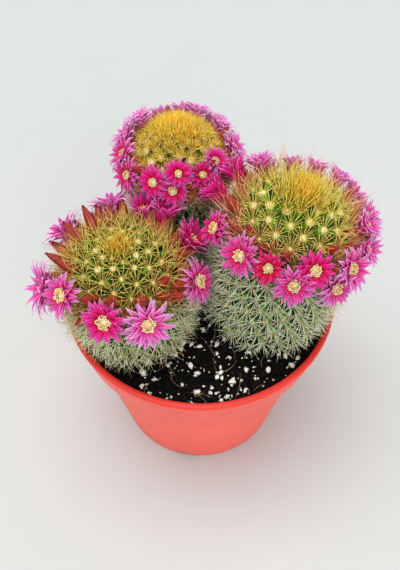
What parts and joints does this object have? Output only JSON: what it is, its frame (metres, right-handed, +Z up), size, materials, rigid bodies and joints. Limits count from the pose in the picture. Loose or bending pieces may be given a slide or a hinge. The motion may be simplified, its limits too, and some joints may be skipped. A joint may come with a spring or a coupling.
{
  "type": "potted round cactus",
  "caption": "Cluster of round cacti with spiny tubercled bodies, each crowned by a ring of small star flowers, standing in peat in a tapered plastic nursery pot with a collared rim.",
  "frame": {"origin": "middle of the outer box of pot, plants and flowers, at the level that the foot ring stands on; the pot axis is at x -1.7 mm, y -1.2 mm", "axes": "+Z up along the pot axis; +X towards the taller of the two front plants, +Y towards the plant at the back, so the front with the open soil faces -Y"},
  "size_m": [0.1498, 0.1324, 0.1703],
  "materials": {
    "pot_plastic": "satin",
    "peat": "matte",
    "perlite": "matte",
    "cactus_skin": "matte",
    "areole_wool": "matte",
    "spines": "satin",
    "buds": "matte",
    "petals": "matte",
    "stamens": "matte"
  },
  "bodies": {
    "root": {"pot": "pot_plastic", "soil": "peat", "cactus_left": "cactus_skin", "cactus_right": "cactus_skin", "cactus_back": "cactus_skin", "flower_left_1": "petals", "flower_left_2": "petals", "flower_left_3": "petals", "flower_left_4": "petals", "flower_left_5": "petals", "flower_left_6": "petals", "flower_left_7": "petals", "flower_left_8": "petals", "flower_left_9": "petals", "flower_left_10": "petals", "flower_right_1": "petals", "flower_right_2": "petals", "flower_right_3": "petals", "flower_right_4": "petals", "flower_right_5": "petals", "flower_right_6": "petals", "flower_right_7": "petals", "flower_right_8": "petals", "flower_right_9": "petals", "flower_right_10": "petals", "flower_right_11": "petals", "flower_right_12": "petals", "flower_right_13": "petals", "flower_right_14": "petals", "flower_right_15": "petals", "flower_right_16": "petals", "flower_right_17": "petals", "flower_right_18": "petals", "flower_right_19": "petals", "flower_back_1": "petals", "flower_back_2": "petals", "flower_back_3": "petals", "flower_back_4": "petals", "flower_back_5": "petals", "flower_back_6": "petals", "flower_back_7": "petals", "flower_back_8": "petals", "flower_back_9": "petals", "flower_back_10": "petals", "flower_back_11": "petals", "flower_back_12": "petals", "flower_back_13": "petals", "flower_back_14": "petals", "flower_back_15": "petals", "flower_back_16": "petals", "flower_back_17": "petals"}
  },
  "joints": []
}
